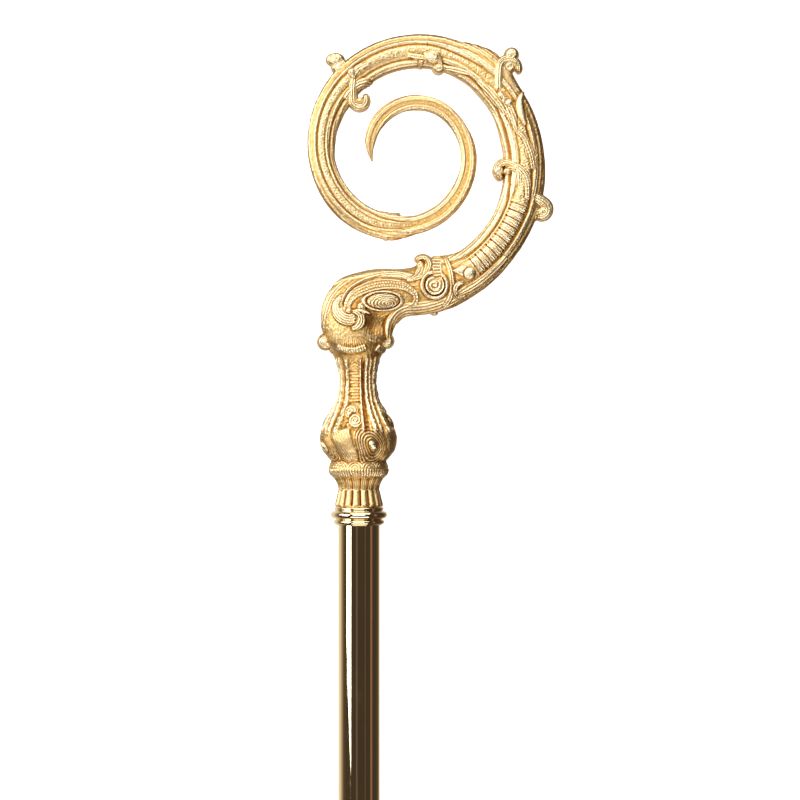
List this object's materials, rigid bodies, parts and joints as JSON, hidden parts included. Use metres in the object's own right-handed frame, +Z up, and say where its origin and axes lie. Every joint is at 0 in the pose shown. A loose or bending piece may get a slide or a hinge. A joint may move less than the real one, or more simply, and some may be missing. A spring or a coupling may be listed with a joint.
{
  "type": "bishop's crosier",
  "caption": "Gilded bishop's crosier lying on its back: a cast head with a baluster knop and a carved scrolling crook, a turned collar, a polished tube in screwed lengths and a plain foot.",
  "frame": {"origin": "middle of the underside of the bounding box, on the floor under the staff", "axes": "+Y along the staff from the foot to the head, +Z up out of the crook's front face, +X to the side the crook curls over, right-handed"},
  "size_m": [0.1446, 1.7318, 0.0489],
  "materials": {
    "cast_gold": "gilded casting, chased, satin with bright edges",
    "polished_gold": "gilded, mirror polished"
  },
  "bodies": {
    "root": {"head": "cast_gold", "collar": "polished_gold", "staff_upper": "polished_gold", "ring_upper": "polished_gold", "staff_middle": "polished_gold", "ring_middle": "polished_gold", "staff_lower": "polished_gold", "foot": "polished_gold"}
  },
  "joints": []
}
